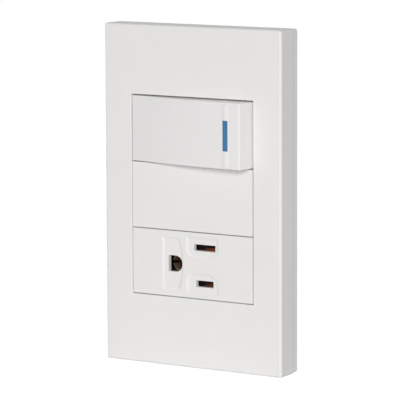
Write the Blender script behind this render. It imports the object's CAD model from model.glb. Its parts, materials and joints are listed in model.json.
"""Finishes, threads, spring and studio for a wall plate with a switch, a blank and a socket."""

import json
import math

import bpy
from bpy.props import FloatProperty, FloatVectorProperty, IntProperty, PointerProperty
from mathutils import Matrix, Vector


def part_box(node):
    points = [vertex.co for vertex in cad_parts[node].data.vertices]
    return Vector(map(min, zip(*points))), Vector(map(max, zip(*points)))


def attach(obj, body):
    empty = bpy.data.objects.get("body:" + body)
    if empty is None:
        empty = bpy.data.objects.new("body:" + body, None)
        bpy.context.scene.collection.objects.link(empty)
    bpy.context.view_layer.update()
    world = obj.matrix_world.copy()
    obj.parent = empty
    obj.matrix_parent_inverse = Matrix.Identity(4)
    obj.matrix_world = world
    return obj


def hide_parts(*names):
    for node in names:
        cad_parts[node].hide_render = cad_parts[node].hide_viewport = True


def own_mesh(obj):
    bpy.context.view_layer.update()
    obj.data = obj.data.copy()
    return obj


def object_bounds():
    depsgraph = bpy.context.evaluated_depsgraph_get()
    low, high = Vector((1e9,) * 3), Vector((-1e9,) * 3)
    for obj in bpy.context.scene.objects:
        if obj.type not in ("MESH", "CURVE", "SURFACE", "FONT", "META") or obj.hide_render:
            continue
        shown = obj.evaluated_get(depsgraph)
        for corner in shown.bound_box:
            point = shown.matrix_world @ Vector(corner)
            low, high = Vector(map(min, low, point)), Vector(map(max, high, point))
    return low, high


bl_info = {
    "name": "Switch and socket combination",
    "version": (1, 0, 0),
    "blender": (4, 5, 0),
    "location": "View3D > Sidebar > Wall device",
    "description": "Dresses a wall plate with a rocker switch, a blank module and a socket",
    "category": "Object",
}

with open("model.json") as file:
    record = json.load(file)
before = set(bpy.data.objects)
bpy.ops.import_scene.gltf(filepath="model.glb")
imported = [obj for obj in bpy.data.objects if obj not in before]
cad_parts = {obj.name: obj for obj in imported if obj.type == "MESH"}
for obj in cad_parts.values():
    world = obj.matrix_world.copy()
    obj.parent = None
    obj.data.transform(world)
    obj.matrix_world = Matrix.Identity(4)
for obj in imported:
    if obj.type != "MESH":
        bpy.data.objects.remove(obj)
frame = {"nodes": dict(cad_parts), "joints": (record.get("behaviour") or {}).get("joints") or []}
MM = 0.001
CAD_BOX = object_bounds()

# The CAD nodes that share a finish
FRONT_MOULDINGS = ("cover_plate", "blank_insert", "outlet_face")
ROCKER_MOULDINGS = ("switch_rocker",)
INDICATOR_MOULDINGS = ("indicator_bar",)
RIM_MOULDINGS = ("plate_frame",)
INNER_MOULDINGS = ("switch_frame", "switch_housing", "outlet_body")
ZINC_PIECES = ("mounting_strap",)
BRASS_PIECES = (
    "contact_plunger", "contact_seesaw", "common_terminal", "fixed_contact",
    "switch_clamp_left", "switch_clamp_right", "neutral_clamp", "hot_clamp", "earth_clamp",
)
BRONZE_PIECES = ("neutral_contact", "hot_contact")
DULL_BRASS_PIECES = ("earth_contact",)
SILVER_PIECES = ("moving_contact_tip", "fixed_contact_tip")
SCREWS = {
    "plate_screws": ("plate_screw_top", "plate_screw_bottom"),
    "terminal_screws": (
        "switch_screw_left", "switch_screw_right", "neutral_screw", "hot_screw", "earth_screw"),
    "socket_screws": ("outlet_screw_top", "outlet_screw_bottom"),
}

WHITE = (1.0, 1.0, 1.0, 1.0)
PAPER_SHADES = ((0.8, 0.8, 0.8, 1.0), (0.82, 0.82, 0.82, 1.0))
FIBRE_SIZE = 4 * MM              # size of the floor paper's mottling

NOISE_MIDDLE = 0.5               # the value that noise varies round
ROUGH_NOISE = 0.6                # roughness of the noises with much fine detail
CLOUD_LEVELS = (0.3, 0.7)        # noise at which the plastic's clouds are darkest and lightest
TARNISH_LEVELS = (0.35, 0.7)     # noise at which tarnish begins and is full
PLASTIC_IOR = 1.5                # how strongly plastic refracts
MIX_INPUTS = (0, 6, 7)           # a Mix node's factor and its two colours
MIX_RESULT = 2                   # and its mixed colour
PIT_SIZE = 0.6                   # a pit's size as a share of the grain's
PIT_DEPTH = 0.5                  # a pit's depth as a share of a drawn line's
ZINC_GRAIN_GLOSS = 0.1           # how much the zinc's fine grain changes its gloss

END_REACH = 0.01 * MM            # how close to a screw's end a point of that end lies
THREAD_CORNERS = 4               # corners of a thread's section
WIRE_CORNERS = 10                # corners of the spring wire's section
CAMERA_REACH = 50                # how far the camera sees, in metres


# Nodes as Python expressions

class Value:
    """An output socket. Arithmetic on it adds Math nodes to its tree."""

    def __init__(self, graph, socket):
        self.graph = graph
        self.socket = socket

    def math(self, operation, *others):
        """The result of a Math node on this value and the others."""
        return self.graph.node("ShaderNodeMath", {"operation": operation}, (self, *others))

    def __add__(self, other):
        return self.math("ADD", other)

    __radd__ = __add__

    def __mul__(self, other):
        return self.math("MULTIPLY", other)

    def __sub__(self, other):
        return self.math("SUBTRACT", other)

    def __rsub__(self, other):
        return self.graph.node("ShaderNodeMath", {"operation": "SUBTRACT"}, (other, self))

    def __truediv__(self, other):
        return self.math("DIVIDE", other)

    def between(self, low, high):
        """This value mapped from low..high to 0..1 and held there."""
        return self.graph.node("ShaderNodeMapRange", {"clamp": True}, (self, low, high, 0.0, 1.0))

    def swing(self, width):
        """This noise as a change up and down, over about a width."""
        return (self - NOISE_MIDDLE) * width


class Graph:
    """Adds nodes to one tree."""

    def __init__(self, tree):
        self.tree = tree

    def fill(self, socket, value):
        """Links a Value to an input socket, or sets a plain value on it."""
        if isinstance(value, Value):
            self.tree.links.new(value.socket, socket)
        else:
            socket.default_value = value

    def node(self, kind, settings=None, sockets=(), output=0):
        """Adds a node with its settings and its inputs, and gives one output where it has any."""
        made = self.tree.nodes.new(kind)
        for key, value in (settings or {}).items():
            setattr(made, key, value)
        for key, value in sockets.items() if isinstance(sockets, dict) else enumerate(sockets):
            self.fill(made.inputs[key], value)
        return Value(self, made.outputs[output]) if len(made.outputs) else None

    def outputs(self, kind, names):
        """Adds a node and gives several of its outputs by name."""
        made = self.tree.nodes.new(kind)
        return {name: Value(self, made.outputs[name]) for name in names}

    def object_place(self):
        """The place on the piece, in metres."""
        return self.node("ShaderNodeTexCoord", output="Object")

    def noise(self, place, cell, detail=2.0, roughness=0.5, axes=(1, 1, 1)):
        """Noise with cells of about cell metres. A share below 1 stretches them along an axis."""
        spread = self.node("ShaderNodeMapping", sockets={"Vector": place, "Scale": axes})
        return self.node("ShaderNodeTexNoise", sockets={
            "Vector": spread, "Scale": 1 / cell, "Detail": detail, "Roughness": roughness,
        })

    def colour_mix(self, factor, first, second):
        """The first colour where the factor is 0, the second where it is 1."""
        mix = self.tree.nodes.new("ShaderNodeMix")
        mix.data_type = "RGBA"
        for index, value in zip(MIX_INPUTS, (factor, first, second)):
            self.fill(mix.inputs[index], value)
        return Value(self, mix.outputs[MIX_RESULT])

    def bump(self, height, distance):
        """The normal of a surface whose height varies over a distance."""
        return self.node("ShaderNodeBump", sockets={"Height": height, "Distance": distance})


def opaque(colour, light=1.0):
    """A colour setting as the four numbers of a colour socket, made lighter or darker."""
    return (*(channel * light for channel in colour[:3]), 1.0)


def new_material(name):
    """A material with an empty tree, and the graph that fills it."""
    material = bpy.data.materials.new(name)
    material.use_nodes = True
    material.node_tree.nodes.clear()
    return material, Graph(material.node_tree)


def finish_surface(graph, sockets):
    """Closes a material with one Principled shader."""
    shader = graph.node("ShaderNodeBsdfPrincipled", sockets=sockets)
    graph.node("ShaderNodeOutputMaterial", sockets={"Surface": shader})


# Finishes

def moulded_plastic(name, look, seam=None):
    """Moulded plastic: a fine spark-eroded skin, faint flow clouds and a satin gloss.

    A seam, given by its depth in the frame, has a dusty line beside it.
    """
    material, graph = new_material(name)
    place = graph.object_place()
    clouds = graph.noise(place, look.cloud_size, detail=3.0)
    skin = graph.noise(place, look.grain_size, detail=4.0, roughness=ROUGH_NOISE)
    dark = opaque(look.colour, 1 - look.cloud_contrast)
    light = opaque(look.colour, 1 + look.cloud_contrast)
    colour = graph.colour_mix(clouds.between(*CLOUD_LEVELS), dark, light)
    if seam is not None:
        depth = graph.node("ShaderNodeSeparateXYZ", sockets=(place,), output="Y")
        near = (depth - seam).math("ABSOLUTE").between(look.seam_width, 0.0)
        colour = graph.colour_mix(near * look.seam_dust, colour, opaque(look.dust))
    finish_surface(graph, {
        "Base Color": colour,
        "Roughness": (
            look.roughness + clouds.swing(look.gloss_change) + skin.swing(look.gloss_change)),
        "Normal": graph.bump(skin, look.grain_depth),
        "Specular IOR Level": look.specular,
        "IOR": PLASTIC_IOR,
    })
    return material


def plated_metal(name, look):
    """Rolled or plated metal: drawn lines along one axis, tarnish clouds and small pits."""
    material, graph = new_material(name)
    place = graph.object_place()
    tarnish = graph.noise(place, look.cloud_size, detail=5.0, roughness=ROUGH_NOISE)
    lines = graph.noise(place, look.grain_size, detail=3.0, axes=(1, 1, look.grain_stretch))
    pits = graph.noise(place, look.grain_size * PIT_SIZE)
    colour = graph.colour_mix(
        tarnish.between(*TARNISH_LEVELS), opaque(look.colour), opaque(look.tarnish))
    finish_surface(graph, {
        "Base Color": colour,
        "Metallic": 1.0,
        "Roughness": (
            look.roughness + tarnish.swing(look.gloss_change) + lines.swing(look.gloss_change)),
        "Normal": graph.bump(lines + pits * PIT_DEPTH, look.grain_depth),
    })
    return material


def galvanised_sheet(name, look):
    """Zinc-coated sheet: crystal patches of differing gloss with a fine grain over them."""
    material, graph = new_material(name)
    place = graph.object_place()
    patches = graph.node("ShaderNodeTexVoronoi", {"feature": "F1"}, {
        "Vector": place, "Scale": 1 / look.cloud_size, "Randomness": 1.0,
    }, output="Color")
    patch = graph.node("ShaderNodeSeparateColor", sockets=(patches,))
    grain = graph.noise(place, look.grain_size, detail=4.0)
    finish_surface(graph, {
        "Base Color": graph.colour_mix(patch, opaque(look.colour), opaque(look.tarnish)),
        "Metallic": 1.0,
        "Roughness": (
            look.roughness + patch.swing(look.gloss_change) + grain.swing(ZINC_GRAIN_GLOSS)),
        "Normal": graph.bump(grain, look.grain_depth),
    })
    return material


def dress(nodes, material):
    """Gives CAD nodes a material in place of their own."""
    for name in nodes:
        mesh = frame["nodes"][name].data
        mesh.materials.clear()
        mesh.materials.append(material)


# Settings

def length(name, description, default):
    """A length setting, in metres, that shows fractions of a millimetre."""
    return FloatProperty(
        name=name, description=description, unit="LENGTH", precision=6, default=default)


def angle(name, description, degrees):
    """An angle setting."""
    return FloatProperty(
        name=name, description=description, subtype="ANGLE", default=math.radians(degrees))


def power(name, description, default):
    """The power of a lamp, in watts."""
    return FloatProperty(name=name, description=description, unit="POWER", default=default)


def strength(name, description, default):
    """A plain number for how bright something shines."""
    return FloatProperty(name=name, description=description, default=default)


def share(name, description, default):
    """A setting from 0 to 1."""
    return FloatProperty(
        name=name, description=description, subtype="FACTOR", min=0.0, max=1.0, default=default)


def count(name, description, least, default):
    """A whole number."""
    return IntProperty(name=name, description=description, min=least, default=default)


def tint(name, description, default):
    """A colour setting."""
    return FloatVectorProperty(
        name=name, description=description, subtype="COLOR", size=3, min=0.0, max=1.0,
        default=default)


class PlasticLook:
    """How a moulded plastic looks."""
    colour: tint("Colour", "Colour of the plastic", (0.84, 0.83, 0.82))
    roughness: share("Roughness", "How matt the surface is", 0.48)
    specular: share("Specular", "Strength of the clear reflection", 0.3)
    gloss_change: share("Gloss change", "How much the gloss varies over the surface", 0.08)
    cloud_size: length("Cloud size", "Size of the faint flow clouds", 28 * MM)
    cloud_contrast: share("Cloud contrast", "How much the clouds lighten and darken", 0.006)
    grain_size: length("Grain size", "Size of the eroded skin's grain", 0.32 * MM)
    grain_depth: length("Grain depth", "Depth of the eroded skin's grain", 0.006 * MM)


class FrontPlastic(PlasticLook, bpy.types.PropertyGroup):
    """Satin white of the cover, the blank and the socket's face."""


class RockerPlastic(PlasticLook, bpy.types.PropertyGroup):
    """Smoother white of the rocker, which is handled."""
    colour: tint("Colour", "Colour of the plastic", (0.86, 0.848, 0.842))
    roughness: share("Roughness", "How matt the surface is", 0.3)
    grain_depth: length("Grain depth", "Depth of the eroded skin's grain", 0.003 * MM)


class RimPlastic(PlasticLook, bpy.types.PropertyGroup):
    """Warmer and more matt plastic of the base frame."""
    colour: tint("Colour", "Colour of the plastic", (0.852, 0.842, 0.827))
    roughness: share("Roughness", "How matt the surface is", 0.52)
    dust: tint("Dust", "Colour of the dust in the seam to the cover", (0.3, 0.29, 0.27))
    seam_dust: share("Seam dust", "How dense the dust lies in the seam", 0.55)
    seam_width: length("Seam width", "How far the dust reaches from the cover's edge", 0.95 * MM)


class InnerPlastic(PlasticLook, bpy.types.PropertyGroup):
    """Matt dark plastic of the housings."""
    colour: tint("Colour", "Colour of the plastic", (0.03, 0.03, 0.032))
    roughness: share("Roughness", "How matt the surface is", 0.55)
    cloud_contrast: share("Cloud contrast", "How much the clouds lighten and darken", 0.03)
    grain_depth: length("Grain depth", "Depth of the eroded skin's grain", 0.01 * MM)


class IndicatorPlastic(PlasticLook, bpy.types.PropertyGroup):
    """Blue plastic of the bar in the rocker."""
    colour: tint("Colour", "Colour of the plastic", (0.036, 0.17, 0.355))
    roughness: share("Roughness", "How matt the surface is", 0.3)
    specular: share("Specular", "Strength of the clear reflection", 0.5)
    cloud_size: length("Cloud size", "Size of the faint flow clouds", 4 * MM)
    cloud_contrast: share("Cloud contrast", "How much the clouds lighten and darken", 0.06)


class MetalLook:
    """How a metal looks."""
    colour: tint("Colour", "Colour of the clean metal", (0.75, 0.75, 0.76))
    tarnish: tint("Tarnish", "Colour where the metal has dulled", (0.6, 0.6, 0.62))
    roughness: share("Roughness", "How matt the surface is", 0.3)
    gloss_change: share("Gloss change", "How much the gloss varies over the surface", 0.2)
    cloud_size: length("Cloud size", "Size of the tarnish clouds", 4 * MM)
    grain_size: length("Grain size", "Size of the grain or drawn lines", 0.4 * MM)
    grain_depth: length("Grain depth", "Depth of the grain", 0.008 * MM)


class ZincLook(MetalLook, bpy.types.PropertyGroup):
    """Zinc-coated sheet of the strap."""
    colour: tint("Colour", "Colour of the brightest patches", (0.6, 0.61, 0.63))
    tarnish: tint("Tarnish", "Colour of the dullest patches", (0.47, 0.48, 0.5))
    cloud_size: length("Patch size", "Size of the zinc's crystal patches", 3.2 * MM)
    roughness: share("Roughness", "How matt the surface is", 0.38)


class DrawnLook(MetalLook):
    """How a rolled, drawn or plated metal looks."""
    grain_stretch: share("Grain stretch", "Width of a drawn line as a share of its length", 0.15)


class SteelLook(DrawnLook, bpy.types.PropertyGroup):
    """Zinc-plated steel of the screws and the spring."""
    colour: tint("Colour", "Colour of the clean metal", (0.62, 0.63, 0.65))
    tarnish: tint("Tarnish", "Colour where the metal has dulled", (0.5, 0.5, 0.48))
    roughness: share("Roughness", "How matt the surface is", 0.27)


class BrassLook(DrawnLook, bpy.types.PropertyGroup):
    """Rolled brass of the switch's contacts and of the clamps."""
    colour: tint("Colour", "Colour of the clean metal", (0.82, 0.6, 0.27))
    tarnish: tint("Tarnish", "Colour where the metal has dulled", (0.6, 0.4, 0.18))


class BronzeLook(DrawnLook, bpy.types.PropertyGroup):
    """Spring bronze of the blades' contacts."""
    colour: tint("Colour", "Colour of the clean metal", (0.92, 0.5, 0.33))
    tarnish: tint("Tarnish", "Colour where the metal has dulled", (0.7, 0.34, 0.2))
    roughness: share("Roughness", "How matt the surface is", 0.4)


class DullBrassLook(DrawnLook, bpy.types.PropertyGroup):
    """Dull brass of the ground pin's contact."""
    colour: tint("Colour", "Colour of the clean metal", (0.6, 0.45, 0.32))
    tarnish: tint("Tarnish", "Colour where the metal has dulled", (0.42, 0.29, 0.2))
    roughness: share("Roughness", "How matt the surface is", 0.46)


class SilverLook(DrawnLook, bpy.types.PropertyGroup):
    """Silver of the contact tips."""
    colour: tint("Colour", "Colour of the clean metal", (0.88, 0.87, 0.84))
    tarnish: tint("Tarnish", "Colour where the metal has dulled", (0.66, 0.63, 0.55))
    roughness: share("Roughness", "How matt the surface is", 0.24)


class ThreadSizes(bpy.types.PropertyGroup):
    """The threads of the screws."""
    pitch: length("Pitch", "Distance from one turn to the next", 0.5 * MM)
    ridge: length("Ridge", "Height of a turn over the shank", 0.14 * MM)
    head: length("Head", "Height of a screw's head, which has no thread", 1.7 * MM)
    sides: count("Sides", "Steps in one turn", 8, 24)


class SpringSizes(bpy.types.PropertyGroup):
    """The plunger's spring."""
    wire: length("Wire", "Diameter of the wire", 0.4 * MM)
    turns: count("Turns", "Turns from end to end", 2, 9)
    closing: share("Closing", "How much closer the end turns lie than the middle ones", 0.75)
    sides: count("Sides", "Steps in one turn", 8, 28)


class StudioSettings(bpy.types.PropertyGroup):
    """Camera, lamps, light all round and floor."""
    yaw: angle("Yaw", "How far the camera stands to the right", 31.9)
    pitch: angle("Pitch", "How far the camera looks down", 7.936)
    roll: angle("Roll", "How far the camera leans", -0.237)
    distance: length("Distance", "Distance from the camera to the plate along its view", 0.9926)
    aside: length("Aside", "Place of the origin to the right of the view's middle", 3.144 * MM)
    above: length("Above", "Place of the origin above the view's middle", 1.843 * MM)
    lens: FloatProperty(name="Lens", description="Focal length", unit="CAMERA", default=254.34)
    ambient: strength("Ambient", "Strength of the light from all round", 0.49)
    ambient_fall: share(
        "Ambient fall", "How much weaker that light is from above than from the side", 0.8)
    key: power("Key", "Power of the front lamp", 5.2)
    key_turn: angle("Key turn", "How far the front lamp stands to the right", 28)
    key_rise: angle("Key rise", "How high the front lamp stands over the plate", 15)
    back: power("Back", "Power of the rear lamp", 5)
    back_turn: angle("Back turn", "How far the rear lamp stands round to the left", 115)
    back_rise: angle("Back rise", "How high the rear lamp stands over the plate", 2)
    lamp_distance: length("Lamp distance", "Distance of the lamps from the plate", 2.5)
    lamp_size: length("Lamp size", "Width and height of the lamps", 0.9)
    lamp_aim: length("Lamp aim", "Height of the point that the lamps are aimed at", -0.2)
    lamp_spread: angle("Lamp spread", "Angle over which the lamps shine", 60)
    floor_size: length("Floor size", "Width and depth of the floor", 12.0)
    floor_shade: share("Floor shade", "How much of the shadow shows on the floor", 0.3)
    floor_glow: strength(
        "Floor glow", "How bright the floor looks where it is seen directly", 1.34)


class DeviceSettings(bpy.types.PropertyGroup):
    """Everything that can be set on the wall device."""
    front: PointerProperty(type=FrontPlastic)
    rocker: PointerProperty(type=RockerPlastic)
    rim: PointerProperty(type=RimPlastic)
    inner: PointerProperty(type=InnerPlastic)
    indicator: PointerProperty(type=IndicatorPlastic)
    zinc: PointerProperty(type=ZincLook)
    steel: PointerProperty(type=SteelLook)
    brass: PointerProperty(type=BrassLook)
    bronze: PointerProperty(type=BronzeLook)
    dull_brass: PointerProperty(type=DullBrassLook)
    silver: PointerProperty(type=SilverLook)
    thread: PointerProperty(type=ThreadSizes)
    spring: PointerProperty(type=SpringSizes)
    studio: PointerProperty(type=StudioSettings)


# Pieces made by node trees

class Shaft:
    """Where a straight round piece of a CAD node lies: its foot, its direction and its sizes."""

    def __init__(self, foot, top, radius):
        self.foot = foot
        self.length = (top - foot).length
        self.aim = (top - foot).normalized()
        self.radius = radius


def node_points(name):
    """The corners of a CAD node's mesh."""
    return [vertex.co for vertex in frame["nodes"][name].data.vertices]


def screw_shank(name):
    """The shank of a screw, from its tip. The head is the end with the wider outline."""
    low, high = (Vector(corner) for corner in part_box(name))
    sizes = high - low
    # Two of the sizes are the head's width, so the middle one is too, however long the screw is
    width = sorted(sizes)[1]
    axis = max(range(3), key=lambda i: abs(sizes[i] - width))
    middle = (low + high) / 2
    points = node_points(name)

    def end(place):
        spot = middle.copy()
        spot[axis] = place
        around = [(point - spot).length for point in points if abs(point[axis] - place) < END_REACH]
        return spot, max(around)

    ends = sorted((end(low[axis]), end(high[axis])), key=lambda found: found[1])
    (tip, radius), (top, _) = ends
    return Shaft(tip, top, radius)


def spring_shaft(push):
    """The spring's place: its foot on the tube's ceiling, its aim against the plunger's push."""
    points = node_points("plunger_spring")
    middle = sum(points, Vector()) / len(points)
    aim = -push.normalized()
    heights = [(point - middle).dot(aim) for point in points]
    radius = max(
        (point - middle - aim * height).length for point, height in zip(points, heights))
    return Shaft(middle + aim * min(heights), middle + aim * max(heights), radius)


def piece_tree(name, measures, steps):
    """Starts a tree from carrier points to a shape, with its measures, steps and material.

    Gives the tree, its graph, the inputs by name and their keys on a modifier.
    """
    tree = bpy.data.node_groups.new(name, "GeometryNodeTree")
    tree.is_modifier = True
    tree.interface.new_socket("Points", in_out="INPUT", socket_type="NodeSocketGeometry")
    tree.interface.new_socket("Shape", in_out="OUTPUT", socket_type="NodeSocketGeometry")
    kinds = {
        **dict.fromkeys(measures, "NodeSocketFloat"),
        steps: "NodeSocketInt",
        "Material": "NodeSocketMaterial",
    }
    keys = {}
    for key, kind in kinds.items():
        socket = tree.interface.new_socket(key, in_out="INPUT", socket_type=kind)
        keys[key] = socket.identifier
    graph = Graph(tree)
    return tree, graph, graph.outputs("NodeGroupInput", ("Points", *kinds)), keys


def sweep(graph, path, corners, radius):
    """A closed tube of round section along a path."""
    ring = graph.node("GeometryNodeCurvePrimitiveCircle", sockets={
        "Resolution": corners, "Radius": radius,
    })
    return graph.node("GeometryNodeCurveToMesh", sockets={
        "Curve": path, "Profile Curve": ring, "Fill Caps": True,
    })


def close_on_points(graph, setting, shape):
    """Puts a shape on each carrier point, turned to the point's aim, and gives it the material."""
    aim = graph.node(
        "GeometryNodeInputNamedAttribute", {"data_type": "FLOAT_VECTOR"}, {"Name": "aim"})
    turned = graph.node("FunctionNodeAlignRotationToVector", {"axis": "Z"}, {"Vector": aim})
    placed = graph.node("GeometryNodeInstanceOnPoints", sockets={
        "Points": setting["Points"], "Instance": shape, "Rotation": turned,
    })
    real = graph.node("GeometryNodeRealizeInstances", sockets=(placed,))
    smooth = graph.node("GeometryNodeSetShadeSmooth", sockets=(real,))
    dressed = graph.node("GeometryNodeSetMaterial", sockets={
        "Geometry": smooth, "Material": setting["Material"],
    })
    graph.node("NodeGroupOutput", sockets=(dressed,))


def helix_tree():
    """Tree that sweeps a small ridge along an even helix, from z = 0 upwards."""
    measures = ("Radius", "Ridge", "Length", "Turns")
    tree, graph, setting, keys = piece_tree("helix", measures, "Sides")
    path = graph.node("GeometryNodeCurveSpiral", sockets={
        "Resolution": setting["Sides"], "Rotations": setting["Turns"],
        "Start Radius": setting["Radius"], "End Radius": setting["Radius"],
        "Height": setting["Length"],
    })
    upright = graph.node("GeometryNodeSetCurveNormal", {"mode": "Z_UP"}, (path,))
    close_on_points(graph, setting, sweep(graph, upright, THREAD_CORNERS, setting["Ridge"]))
    return tree, keys


def coil_tree():
    """Tree that sweeps a wire along a helix whose end turns lie closer than its middle ones."""
    measures = ("Radius", "Wire", "Length", "Turns", "Closing")
    tree, graph, setting, keys = piece_tree("coil", measures, "Steps")
    line = graph.node("GeometryNodeMeshLine", sockets={"Count": setting["Steps"] + 1})
    path = graph.node("GeometryNodeMeshToCurve", sockets=(line,))
    along = graph.node("GeometryNodeInputIndex") / setting["Steps"]
    whole = along * math.tau
    turn = whole * setting["Turns"]
    rise = along - whole.math("SINE") * setting["Closing"] / math.tau
    place = graph.node("ShaderNodeCombineXYZ", sockets=(
        turn.math("COSINE") * setting["Radius"], turn.math("SINE") * setting["Radius"],
        rise * setting["Length"],
    ))
    wound = graph.node("GeometryNodeSetPosition", sockets={"Geometry": path, "Position": place})
    close_on_points(graph, setting, sweep(graph, wound, WIRE_CORNERS, setting["Wire"] / 2))
    return tree, keys


def new_object(name, data):
    """An object with this data, in the scene."""
    made = bpy.data.objects.new(name, data)
    bpy.context.scene.collection.objects.link(made)
    return made


def grow_piece(name, tree, keys, shafts, settings):
    """Runs a tree on one carrier point for each shaft and keeps its result as a plain mesh."""
    carrier_mesh = bpy.data.meshes.new(name + "_carrier")
    carrier_mesh.from_pydata([shaft.foot for shaft in shafts], [], [])
    aims = carrier_mesh.attributes.new("aim", "FLOAT_VECTOR", "POINT")
    for item, shaft in zip(aims.data, shafts):
        item.vector = shaft.aim
    carrier = new_object(name + "_carrier", carrier_mesh)
    modifier = carrier.modifiers.new(name, "NODES")
    modifier.node_group = tree
    for key, value in settings.items():
        modifier[keys[key]] = value
    depsgraph = bpy.context.evaluated_depsgraph_get()
    mesh = bpy.data.meshes.new_from_object(
        carrier.evaluated_get(depsgraph), depsgraph=depsgraph)
    mesh.name = name
    bpy.data.objects.remove(carrier)
    return new_object(name, mesh)


# Studio

def view_axes(studio):
    """The camera's right, up and forward directions."""
    ahead = Vector((
        -math.sin(studio.yaw) * math.cos(studio.pitch),
        math.cos(studio.yaw) * math.cos(studio.pitch),
        -math.sin(studio.pitch)))
    level = Vector((math.cos(studio.yaw), math.sin(studio.yaw), 0))
    upright = level.cross(ahead)
    right = math.cos(studio.roll) * level + math.sin(studio.roll) * upright
    up = math.cos(studio.roll) * upright - math.sin(studio.roll) * level
    return right, up, ahead


def place_camera(studio):
    """The camera that sees the plate as the photo does."""
    right, up, ahead = view_axes(studio)
    eye = -ahead * studio.distance - right * studio.aside - up * studio.above
    data = bpy.data.cameras.new("studio_camera")
    data.lens = studio.lens
    data.clip_end = CAMERA_REACH
    camera = new_object("studio_camera", data)
    turned = Matrix((right, up, -ahead)).transposed().to_4x4()
    camera.matrix_world = Matrix.Translation(eye) @ turned
    return camera


def place_lamp(studio, name, watts, turn, rise):
    """A square lamp, turned to the right from the front and raised, aimed below the plate."""
    data = bpy.data.lights.new(name, "AREA")
    data.size = studio.lamp_size
    data.spread = studio.lamp_spread
    data.energy = watts
    lamp = new_object(name, data)
    toward = Vector((
        math.sin(turn) * math.cos(rise), -math.cos(turn) * math.cos(rise), math.sin(rise)))
    lamp.location = toward * studio.lamp_distance
    back = lamp.location - Vector((0, 0, studio.lamp_aim))
    lamp.rotation_euler = back.to_track_quat("Z", "Y").to_euler()


def seen_directly(graph):
    """1 where the camera, a mirror or a clear piece sees the surface, 0 where it only lights."""
    camera, glossy, clear = graph.outputs(
        "ShaderNodeLightPath", ("Is Camera Ray", "Is Glossy Ray", "Is Transmission Ray")).values()
    return camera.math("MAXIMUM", glossy).math("MAXIMUM", clear)


def light_all_round(scene, studio):
    """A world that lights less from above than from the side, and is white where it is seen."""
    world = bpy.data.worlds.new("studio_world")
    world.use_nodes = True
    world.node_tree.nodes.clear()
    graph = Graph(world.node_tree)
    direction = graph.node("ShaderNodeNewGeometry", output="Position")
    height = graph.node("ShaderNodeSeparateXYZ", sockets=(direction,), output="Z")
    fading = studio.ambient - height * (studio.ambient * studio.ambient_fall)
    light = graph.node("ShaderNodeBackground", sockets=(WHITE, fading))
    backdrop = graph.node("ShaderNodeBackground", sockets=(WHITE, 1.0))
    mixed = graph.node("ShaderNodeMixShader", sockets=(seen_directly(graph), light, backdrop))
    graph.node("ShaderNodeOutputWorld", sockets={"Surface": mixed})
    scene.world = world


def lay_floor(studio):
    """A pale floor under the plate. Seen directly it is white where no shadow falls."""
    half = studio.floor_size / 2
    level = CAD_BOX[0][2]
    corners = ((-half, -half), (half, -half), (half, half), (-half, half))
    mesh = bpy.data.meshes.new("studio_floor")
    mesh.from_pydata([(x, y, level) for x, y in corners], [], [(0, 1, 2, 3)])
    material, graph = new_material("floor_paper")
    fibres = graph.noise(graph.object_place(), FIBRE_SIZE, detail=4.0)
    paper = graph.node("ShaderNodeBsdfDiffuse", sockets=(graph.colour_mix(fibres, *PAPER_SHADES),))
    glow = graph.node("ShaderNodeEmission", sockets=(WHITE, studio.floor_glow))
    mixed = graph.node("ShaderNodeMixShader", sockets=(
        seen_directly(graph) * (1 - studio.floor_shade), paper, glow))
    graph.node("ShaderNodeOutputMaterial", sockets={"Surface": mixed})
    mesh.materials.append(material)
    new_object("studio_floor", mesh)


# Operators

class DeviceOperator:
    """What all the operators share."""
    bl_options = {"REGISTER", "UNDO"}

    @property
    def settings(self):
        return bpy.context.scene.wall_device


class FinishFronts(DeviceOperator, bpy.types.Operator):
    """Gives the cover, the blank and the socket's face their satin white"""
    bl_idname = "wall_device.finish_fronts"
    bl_label = "Finish the white fronts"

    def execute(self, context):
        dress(FRONT_MOULDINGS, moulded_plastic("satin_white", self.settings.front))
        return {"FINISHED"}


class FinishRocker(DeviceOperator, bpy.types.Operator):
    """Gives the rocker its white and the bar in it its blue"""
    bl_idname = "wall_device.finish_rocker"
    bl_label = "Finish the rocker"

    def execute(self, context):
        dress(ROCKER_MOULDINGS, moulded_plastic("rocker_white", self.settings.rocker))
        dress(INDICATOR_MOULDINGS, moulded_plastic("indicator_blue", self.settings.indicator))
        return {"FINISHED"}


class FinishRim(DeviceOperator, bpy.types.Operator):
    """Gives the base frame its warmer, more matt plastic, with dust in the seam to the cover"""
    bl_idname = "wall_device.finish_rim"
    bl_label = "Finish the base frame"

    def execute(self, context):
        cover_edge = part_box("cover_plate")[1][1]
        dress(RIM_MOULDINGS, moulded_plastic("rim_plastic", self.settings.rim, cover_edge))
        return {"FINISHED"}


class FinishHousings(DeviceOperator, bpy.types.Operator):
    """Gives the rear housings and the switch's frame their matt plastic"""
    bl_idname = "wall_device.finish_housings"
    bl_label = "Finish the housings"

    def execute(self, context):
        dress(INNER_MOULDINGS, moulded_plastic("housing_plastic", self.settings.inner))
        return {"FINISHED"}


class FinishStrap(DeviceOperator, bpy.types.Operator):
    """Gives the mounting strap its zinc-coated sheet"""
    bl_idname = "wall_device.finish_strap"
    bl_label = "Finish the strap"

    def execute(self, context):
        dress(ZINC_PIECES, galvanised_sheet("zinc_sheet", self.settings.zinc))
        return {"FINISHED"}


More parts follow.
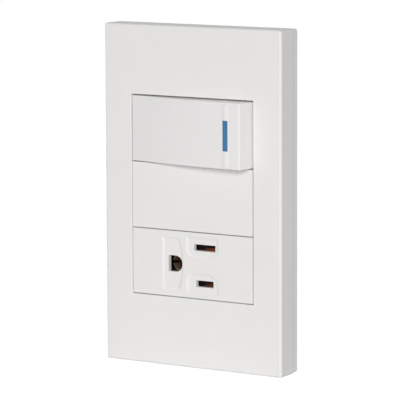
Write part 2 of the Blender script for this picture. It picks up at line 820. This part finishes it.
class FinishContacts(DeviceOperator, bpy.types.Operator):
    """Gives the contacts, clamps and contact tips their brass, bronze and silver"""
    bl_idname = "wall_device.finish_contacts"
    bl_label = "Finish the contacts"

    def execute(self, context):
        dress(BRASS_PIECES, plated_metal("rolled_brass", self.settings.brass))
        dress(BRONZE_PIECES, plated_metal("spring_bronze", self.settings.bronze))
        dress(DULL_BRASS_PIECES, plated_metal("dull_brass", self.settings.dull_brass))
        dress(SILVER_PIECES, plated_metal("contact_silver", self.settings.silver))
        return {"FINISHED"}


class ThreadScrews(DeviceOperator, bpy.types.Operator):
    """Gives the screws their plated steel and winds a thread round each shank"""
    bl_idname = "wall_device.thread_screws"
    bl_label = "Thread the screws"

    def execute(self, context):
        sizes = self.settings.thread
        steel = plated_metal("plated_steel", self.settings.steel)
        tree, keys = helix_tree()
        for group, names in SCREWS.items():
            dress(names, steel)
            shafts = [screw_shank(name) for name in names]
            threaded = shafts[0].length - sizes.head
            piece = grow_piece(group + "_threads", tree, keys, shafts, {
                "Radius": shafts[0].radius, "Ridge": sizes.ridge, "Length": threaded,
                "Turns": threaded / sizes.pitch, "Sides": sizes.sides, "Material": steel,
            })
            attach(piece, "base")
        return {"FINISHED"}


class WindSpring(DeviceOperator, bpy.types.Operator):
    """Winds the plunger's spring, with closed end turns, in place of its plain coil"""
    bl_idname = "wall_device.wind_spring"
    bl_label = "Wind the spring"

    def execute(self, context):
        sizes = self.settings.spring
        slide = next(joint for joint in frame["joints"] if joint["name"] == "plunger_slide")
        shaft = spring_shaft(Vector(slide["axis"]))
        # The wire's middle runs half a wire inside the plain coil's ends and outline
        shaft.foot += shaft.aim * sizes.wire / 2
        tree, keys = coil_tree()
        steel = plated_metal("spring_steel", self.settings.steel)
        piece = grow_piece("plunger_coil", tree, keys, [shaft], {
            "Radius": shaft.radius - sizes.wire / 2, "Wire": sizes.wire,
            "Length": shaft.length - sizes.wire, "Turns": float(sizes.turns),
            "Closing": sizes.closing, "Steps": sizes.turns * sizes.sides, "Material": steel,
        })
        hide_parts("plunger_spring")
        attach(piece, "rocker")
        travel = slide["range_m"][1] - slide["range_m"][0]
        1 - travel / shaft.length
        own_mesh(piece)
        return {"FINISHED"}


class BuildStudio(DeviceOperator, bpy.types.Operator):
    """Sets the camera, the two lamps, the light all round and the pale floor"""
    bl_idname = "wall_device.build_studio"
    bl_label = "Build the studio"

    def execute(self, context):
        studio = self.settings.studio
        scene = context.scene
        scene.view_settings.view_transform = "Standard"
        scene.camera = place_camera(studio)
        place_lamp(studio, "front_lamp", studio.key, studio.key_turn, studio.key_rise)
        place_lamp(studio, "rear_lamp", studio.back, -studio.back_turn, studio.back_rise)
        light_all_round(scene, studio)
        lay_floor(studio)
        return {"FINISHED"}


# Panel and registration

SETTINGS = (
    FrontPlastic, RockerPlastic, RimPlastic, InnerPlastic, IndicatorPlastic,
    ZincLook, SteelLook, BrassLook, BronzeLook, DullBrassLook, SilverLook,
    ThreadSizes, SpringSizes, StudioSettings, DeviceSettings,
)
STEPS = (
    FinishFronts, FinishRocker, FinishRim, FinishHousings, FinishStrap, FinishContacts,
    ThreadScrews, WindSpring, BuildStudio,
)


class DevicePanel(bpy.types.Panel):
    """Lists the steps that dress the wall device, and their settings"""
    bl_idname = "VIEW3D_PT_wall_device"
    bl_label = "Wall device"
    bl_space_type = "VIEW_3D"
    bl_region_type = "UI"
    bl_category = "Wall device"

    def draw(self, context):
        settings = context.scene.wall_device
        for step in STEPS:
            self.layout.operator(step.bl_idname)
        for name in DeviceSettings.__annotations__:
            box = self.layout.box()
            box.label(text=name.replace("_", " ").capitalize())
            group = getattr(settings, name)
            for key in group.bl_rna.properties.keys():
                if key not in ("rna_type", "name"):
                    box.prop(group, key)


CLASSES = (*SETTINGS, *STEPS, DevicePanel)


def register():
    for kind in CLASSES:
        bpy.utils.register_class(kind)
    bpy.types.Scene.wall_device = PointerProperty(type=DeviceSettings)


def unregister():
    del bpy.types.Scene.wall_device
    for kind in reversed(CLASSES):
        bpy.utils.unregister_class(kind)


def main():
    register()
    for step in STEPS:
        group, name = step.bl_idname.split(".")
        getattr(getattr(bpy.ops, group), name)()


if __name__ == "__main__":
    main()
